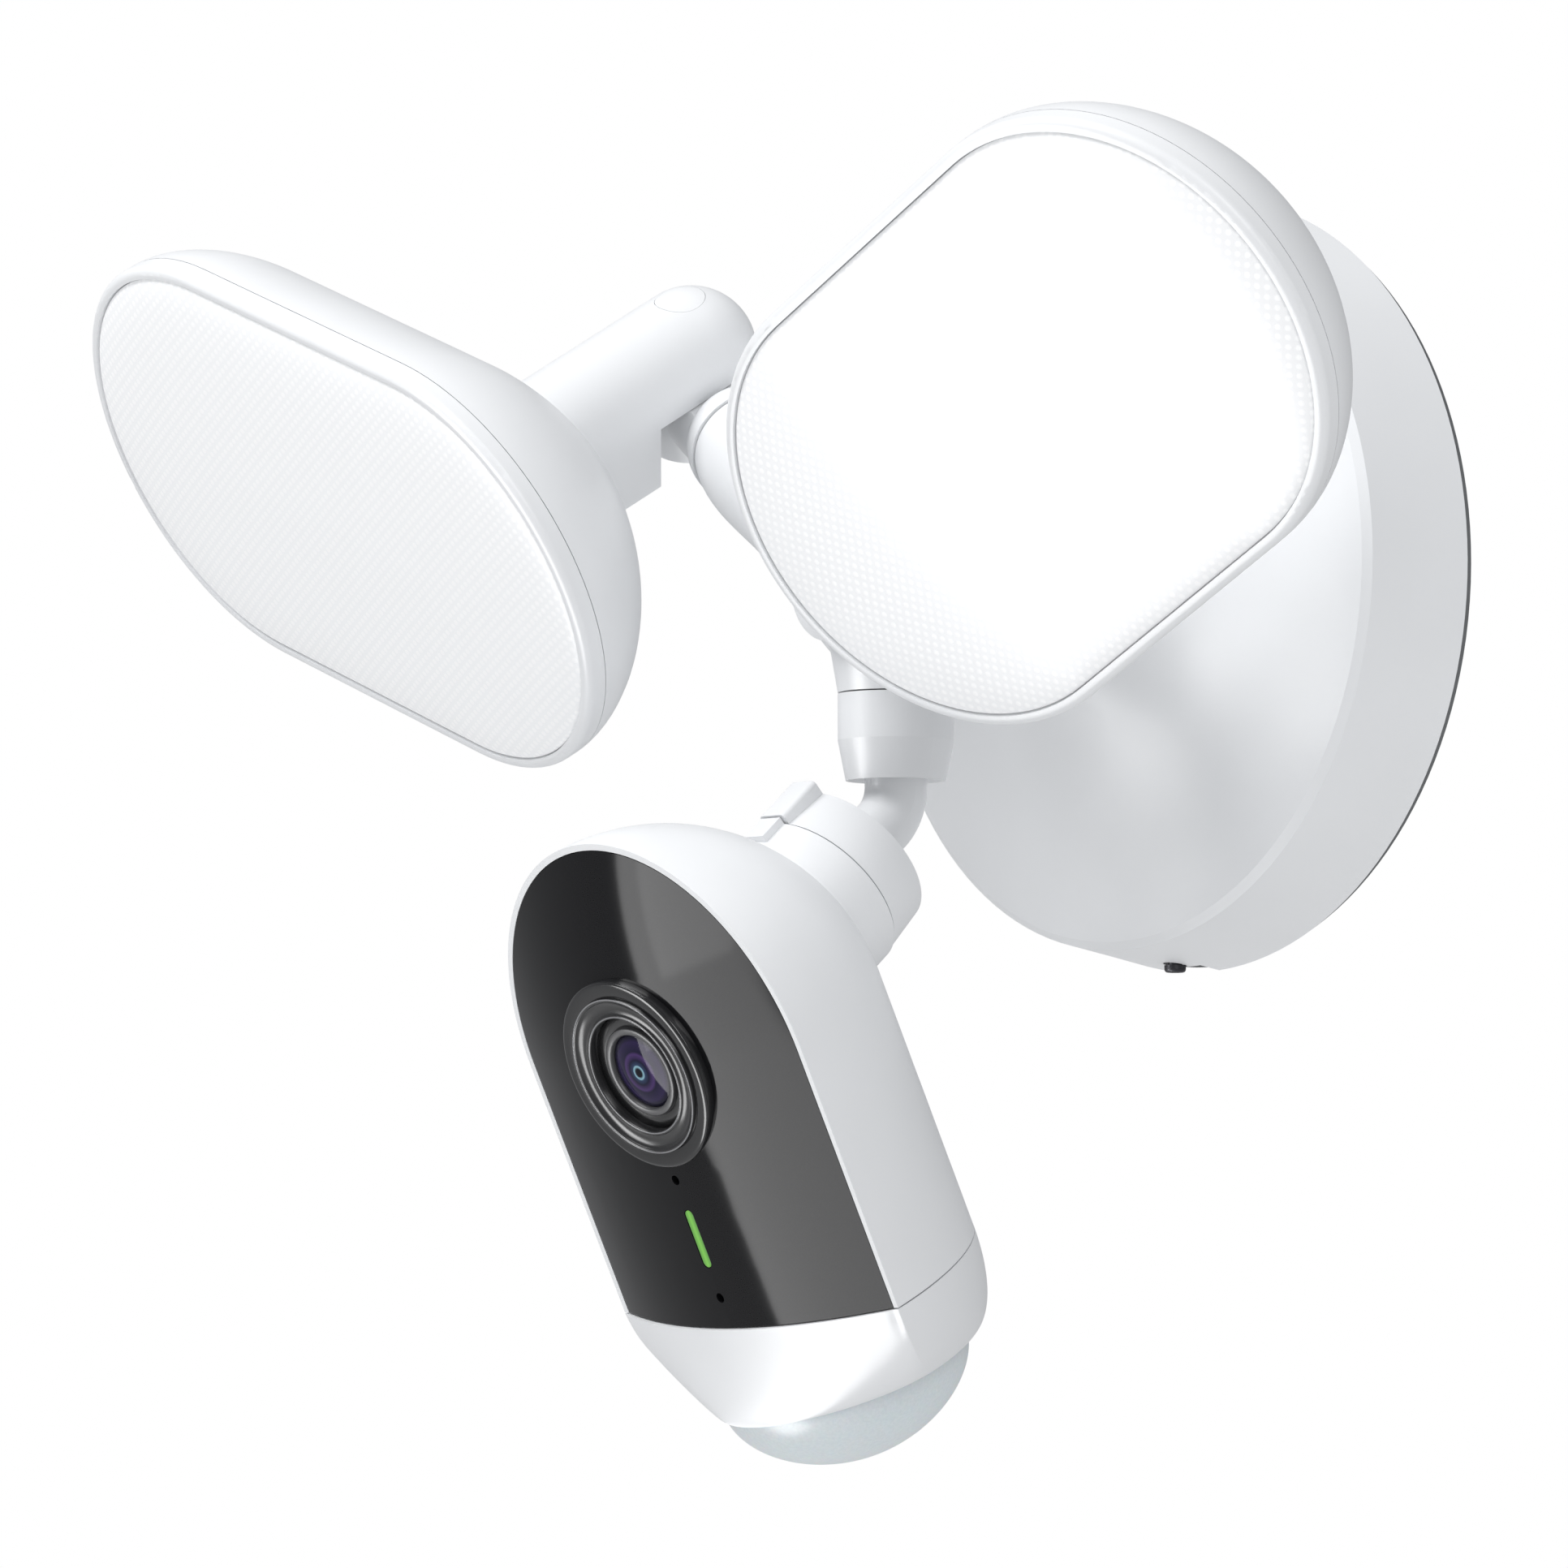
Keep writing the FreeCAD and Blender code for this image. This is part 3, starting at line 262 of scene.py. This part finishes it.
def dome_plastic(name):
    """Milky infrared window with faint moulded facets."""
    n = Nodes(name)
    at = n.local(HEAD_FRAME)
    cells = n.add("ShaderNodeTexVoronoi", feature="SMOOTH_F1")
    n.join(at, cells.inputs["Vector"])
    cells.inputs["Scale"].default_value = 210.0
    fine = n.noise(at, 1800.0, 3.0)
    n.set(Base_Color=n.ramp(fine, [(0.3, (0.70, 0.73, 0.755)), (0.7, (0.76, 0.785, 0.805))]),
          Roughness=0.30, Subsurface_Weight=0.35, Subsurface_Scale=0.004,
          Normal=n.bump(cells.outputs["Distance"], 0.00006, 0.25))
    return n.material


def led_material(name):
    """White package with a yellow phosphor face."""
    n = Nodes(name)
    at = n.local()
    n.set(Base_Color=n.ramp(n.noise(at, 700.0), [(0.35, (0.90, 0.78, 0.30)), (0.65, (0.97, 0.86, 0.42))]),
          Roughness=0.35)
    return n.material


WHITE = (0.815, 0.825, 0.838)
FINISHES = {
    "white_plastic": moulded("white_plastic", WHITE, 0.36),
    "grey_rubber": moulded("grey_rubber", (0.13, 0.135, 0.14), 0.62, 1500.0, 0.00003, 0.05),
    "black_rubber": moulded("black_rubber", (0.02, 0.02, 0.02), 0.6, 1500.0, 0.00003, 0.08),
    "nylon": moulded("nylon", (0.62, 0.61, 0.56), 0.45, 1900.0, 0.00002, 0.03),
    "component_black": moulded("component_black", (0.025, 0.025, 0.028), 0.5, 1800.0, 0.00002, 0.1),
    "black_trim": moulded("black_trim", (0.012, 0.012, 0.013), 0.22, 3000.0, 0.000006, 0.1),
    "ridge_black": moulded("ridge_black", (0.010, 0.010, 0.011), 0.15, 3000.0, 0.000004, 0.1),
    "lens_grey": moulded("lens_grey", (0.055, 0.055, 0.058), 0.34, 3000.0, 0.000006, 0.1),
    "bare_aluminium": metal("bare_aluminium", (0.74, 0.75, 0.76), 0.42),
    "screw_steel": metal("screw_steel", (0.62, 0.62, 0.63), 0.30),
    "blackened_steel": metal("blackened_steel", (0.05, 0.05, 0.055), 0.40),
    "zinc_steel": metal("zinc_steel", (0.60, 0.61, 0.63), 0.38),
    "white_circuit_board": circuit("white_circuit_board", (0.78, 0.78, 0.76), (0.66, 0.67, 0.66)),
    "green_circuit_board": circuit("green_circuit_board", (0.012, 0.10, 0.035), (0.03, 0.17, 0.06)),
    "led_chip": led_material("led_chip"),
    "black_glass": black_glass("black_glass"),
    "lens_glass": lens_rings_and_reflections("lens_glass"),
    "status_green": lit_pipe("status_green"),
    "dome_plastic": dome_plastic("dome_plastic"),
}
LENSES = {side + "_lamp_lens": diffuser("lamp_diffuser_" + side, side) for side in ("right", "left")}


def dress_nodes():
    """Every CAD node takes the finish of its material slot."""
    for part in frame["record"]["subparts"]:
        node = frame["nodes"][part["node"]]
        finish = LENSES.get(part["node"]) or FINISHES[part["material_slot"]]
        if part["node"] == "lock_screw":
            finish = FINISHES["blackened_steel"]
        node.data.materials.clear()
        node.data.materials.append(finish)


def turned(name, profile, finish, body, place, steps=160):
    """A turned piece about the local Y axis from (radius, depth) points in millimetres."""
    mesh = bpy.data.meshes.new(name)
    bm = bmesh.new()
    rings = []
    for step in range(steps):
        a = 2 * math.pi * step / steps
        rings.append([bm.verts.new((r / 1000 * math.cos(a), d / 1000, r / 1000 * math.sin(a)))
                      for r, d in profile])
    for i in range(steps):
        this, after = rings[i], rings[(i + 1) % steps]
        for j in range(len(profile) - 1):
            corners = [this[j], this[j + 1], after[j + 1], after[j]]
            bm.faces.new(corners)
    bmesh.ops.remove_doubles(bm, verts=bm.verts, dist=1e-7)
    bmesh.ops.recalc_face_normals(bm, faces=bm.faces)
    bm.transform(place)
    bm.to_mesh(mesh)
    bm.free()
    mesh.polygons.foreach_set("use_smooth", [True] * len(mesh.polygons))
    piece = bpy.data.objects.new(name, mesh)
    bpy.context.collection.objects.link(piece)
    mesh.materials.append(finish)
    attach(piece, body)
    return piece


def area_light(name, direction, distance, size, power, aim=MIDDLE, diffuse=True):
    """A soft box that faces the object from the given direction."""
    lamp = bpy.data.lights.new(name, "AREA")
    lamp.shape = "RECTANGLE"
    lamp.size, lamp.size_y = size
    lamp.energy = power
    holder = bpy.data.objects.new(name, lamp)
    bpy.context.collection.objects.link(holder)
    away = Vector(direction).normalized()
    holder.location = Vector(aim) + away * distance
    holder.rotation_euler = away.to_track_quat("Z", "Y").to_euler()
    holder.visible_diffuse = diffuse
    return holder


def build_floor():
    """A wide pale floor, well below the part because the part hangs on a wall."""
    mesh = bpy.data.meshes.new("floor")
    bm = bmesh.new()
    bmesh.ops.create_circle(bm, cap_ends=True, segments=96, radius=FLOOR_RADIUS)
    bm.transform(Matrix.Translation((0, 0, FLOOR_Z)))
    bm.to_mesh(mesh)
    bm.free()
    floor = bpy.data.objects.new("floor", mesh)
    bpy.context.collection.objects.link(floor)
    paint = moulded("floor_paint", (0.86, 0.86, 0.86), 0.7, 300.0, 0.0002, 0.01)
    shader = paint.node_tree.nodes["Principled BSDF"]
    shader.inputs["Emission Color"].default_value = (1.0, 1.0, 1.0, 1.0)
    shader.inputs["Emission Strength"].default_value = 0.20
    mesh.materials.append(paint)


def build_world():
    """A white background over an even, slightly cool room light."""
    world = bpy.data.worlds.new("studio")
    bpy.context.scene.world = world
    world.use_nodes = True
    nodes, links = world.node_tree.nodes, world.node_tree.links
    seen = nodes.new("ShaderNodeBackground")
    seen.inputs["Color"].default_value = (1.0, 1.0, 1.0, 1.0)
    seen.inputs["Strength"].default_value = 1.0
    lit = nodes["Background"]
    lit.inputs["Color"].default_value = (0.96, 0.975, 1.0, 1.0)
    lit.inputs["Strength"].default_value = 0.42
    path = nodes.new("ShaderNodeLightPath")
    mix = nodes.new("ShaderNodeMixShader")
    links.new(path.outputs["Is Camera Ray"], mix.inputs[0])
    links.new(lit.outputs[0], mix.inputs[1])
    links.new(seen.outputs[0], mix.inputs[2])
    links.new(mix.outputs[0], nodes["World Output"].inputs["Surface"])


def build_camera():
    """The camera looks up a little from the front right, as far away as the view was taken."""
    away = Vector((0.7398, -0.6666, -0.0917)).normalized()
    distance = 1.6446
    spot = away * distance
    data = bpy.data.cameras.new("camera")
    data.sensor_width = 36.0
    data.lens = 214.0
    camera = bpy.data.objects.new("camera", data)
    bpy.context.collection.objects.link(camera)
    camera.location = spot
    target = Vector((-0.0181, -0.0818, -0.0375))
    look = (target - spot).normalized()
    camera.rotation_euler = look.to_track_quat("-Z", "Y").to_euler()
    bpy.context.scene.camera = camera


def lens_stack():
    """The turned rings, the sight tube and the front element of the camera's lens, with thin grey wires
    on the bezel's edges as painted highlights.
    """
    # A lighter grey for the edge wires: a painted highlight where light catches the black bezel's edges.
    edge_highlight_paint = moulded("ring_edge_highlight", (0.20, 0.20, 0.21), 0.18, 3000.0, 0.000004, 0.05)
    trim = FINISHES["black_trim"]
    front = -6.7
    bezel = [(14.15, front + 3.0), (14.15, front - 0.55), (14.0, front - 0.75), (13.75, front - 0.75),
             (13.55, front - 0.55), (13.3, front - 0.1), (11.2, front + 0.15), (11.0, front - 0.15),
             (10.8, front - 0.30), (10.5, front - 0.30), (10.35, front - 0.10), (10.3, front + 3.4)]
    ring_piece = turned("lens_bezel", bezel, trim, "camera", HEAD_FRAME)
    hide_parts("lens_ring")
    edges = (("lens_edge_outer", 14.0, front - 0.72), ("lens_edge_inner", 10.65, front - 0.27))
    for name, radius, depth in edges:
        wire = [(radius + 0.14 * math.cos(a), depth + 0.10 * math.sin(a))
                for a in (2 * math.pi * i / 8 for i in range(9))]
        turned(name, wire, edge_highlight_paint, "camera", HEAD_FRAME)
    seat = [(17.05, front + 1.6), (17.05, front + 0.1), (16.9, front - 0.2), (16.6, front - 0.38),
            (16.2, front - 0.42), (14.8, front - 0.30), (14.2, front - 0.20)]
    turned("lens_seat_ridge", seat, FINISHES["ridge_black"], "camera", HEAD_FRAME)
    tube = [(10.25, front + 3.2), (10.2, front + 1.3), (8.6, front + 1.5), (8.1, front + 1.6),
            (6.75, front + 1.9), (6.7, front + 4.0), (5.2, front + 9.0), (4.2, front + 13.6)]
    barrel = turned("lens_sight_tube", tube, trim, "camera", HEAD_FRAME)
    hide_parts("lens_barrel")
    collar = [(8.1, front + 1.7), (8.05, front + 1.05), (7.85, front + 0.85), (7.0, front + 0.90),
              (6.75, front + 1.1), (6.7, front + 2.0)]
    turned("lens_grey_collar", collar, FINISHES["lens_grey"], "camera", HEAD_FRAME)
    rim, curve, sweep, rows = 6.66, 8.0, 0.5, 12
    dome = [(rim, front + 3.0)]
    for i in range(rows + 1):
        a = sweep * (1 - i / rows)
        sag = curve * (math.cos(a) - math.cos(sweep))
        dome.append((rim * math.sin(a) / math.sin(sweep), front + 1.75 - sag))
    glass = turned("lens_front_element", dome, FINISHES["lens_glass"], "camera", HEAD_FRAME)
    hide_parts("lens_glass")


dress_nodes()
lens_stack()
build_floor()
build_world()
build_camera()
area_light("key", (-0.22, -0.60, 0.76), 1.3, (0.8, 0.7), 13.5)
area_light("low_fill", (-0.45, -0.90, -0.30), 1.5, (0.5, 0.4), 2.0)
area_light("side", (1.0, -0.45, 0.40), 1.5, (0.5, 0.9), 7.0)
area_light("panel_box", (-0.40, -0.74, -0.54), 0.6, (0.33, 0.90), 8.0, aim=PANEL_AT, diffuse=False)
bpy.context.scene.view_settings.view_transform = "Standard"
